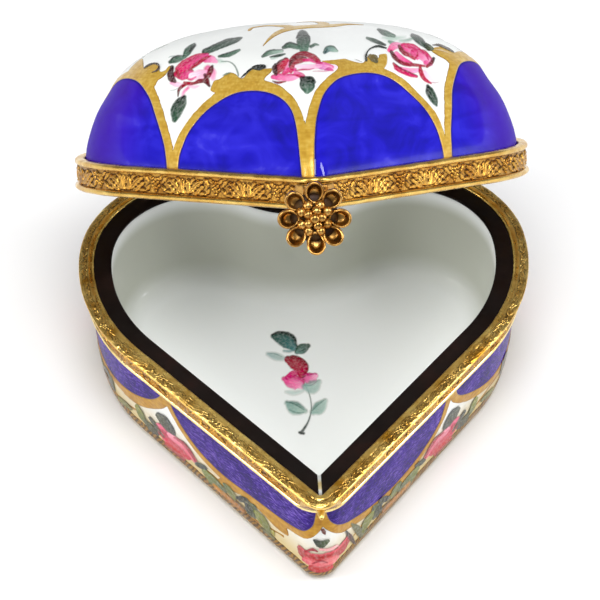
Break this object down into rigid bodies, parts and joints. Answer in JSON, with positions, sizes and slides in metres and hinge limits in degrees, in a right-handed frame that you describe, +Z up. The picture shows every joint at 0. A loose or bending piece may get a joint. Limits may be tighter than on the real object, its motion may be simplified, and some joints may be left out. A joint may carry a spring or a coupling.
{
  "type": "trinket box",
  "caption": "Heart-shaped hinged trinket box: glazed porcelain base and domed lid in embossed brass mounts, with a flower clasp; holds small jewellery.",
  "frame": {"origin": "centre of the heart outline on the flat foot, on the resting plane", "axes": "+Z up, -Y towards the heart's point and clasp (front), +Y towards the hinge (back), +X to the right seen from the front"},
  "size_m": [0.057, 0.0624, 0.0593],
  "materials": {
    "glazed_porcelain": "glossy glaze, painted",
    "gilt_brass": "bright gilt",
    "antique_brass": "antiqued, dark in the recesses",
    "dark_flange": "dark patinated, satin",
    "bedding_cement": "matte plaster cement"
  },
  "bodies": {
    "base": {"base_body": "glazed_porcelain", "base_bezel_bottom_bead": "gilt_brass", "base_bezel_band": "antique_brass", "base_bezel_top_bead": "gilt_brass", "base_rim_flange": "dark_flange", "base_bedding_cement": "bedding_cement", "base_tip_cap": "gilt_brass", "base_catch_stud": "gilt_brass", "base_hinge_leaf": "antique_brass", "base_hinge_knuckles": "antique_brass", "hinge_pin": "antique_brass"},
    "lid": {"lid_shell": "glazed_porcelain", "lid_bezel_lower_bead": "gilt_brass", "lid_bezel_band": "antique_brass", "lid_bezel_upper_bead": "gilt_brass", "lid_rim_flange": "dark_flange", "lid_bedding_cement": "bedding_cement", "lid_hinge_leaf": "antique_brass", "lid_hinge_knuckle": "antique_brass", "clasp_backplate": "antique_brass", "clasp_tongue": "antique_brass", "clasp_petals": "antique_brass", "clasp_bead_cluster": "antique_brass", "clasp_rivet": "antique_brass"}
  },
  "joints": [
    {"name": "lid_hinge", "type": "hinge", "parent": "base", "child": "lid", "pos_m": [0, 0.0296, 0.0176], "axis": [-1, 0, 0], "range_deg": [-40.5, 54.5]}
  ]
}
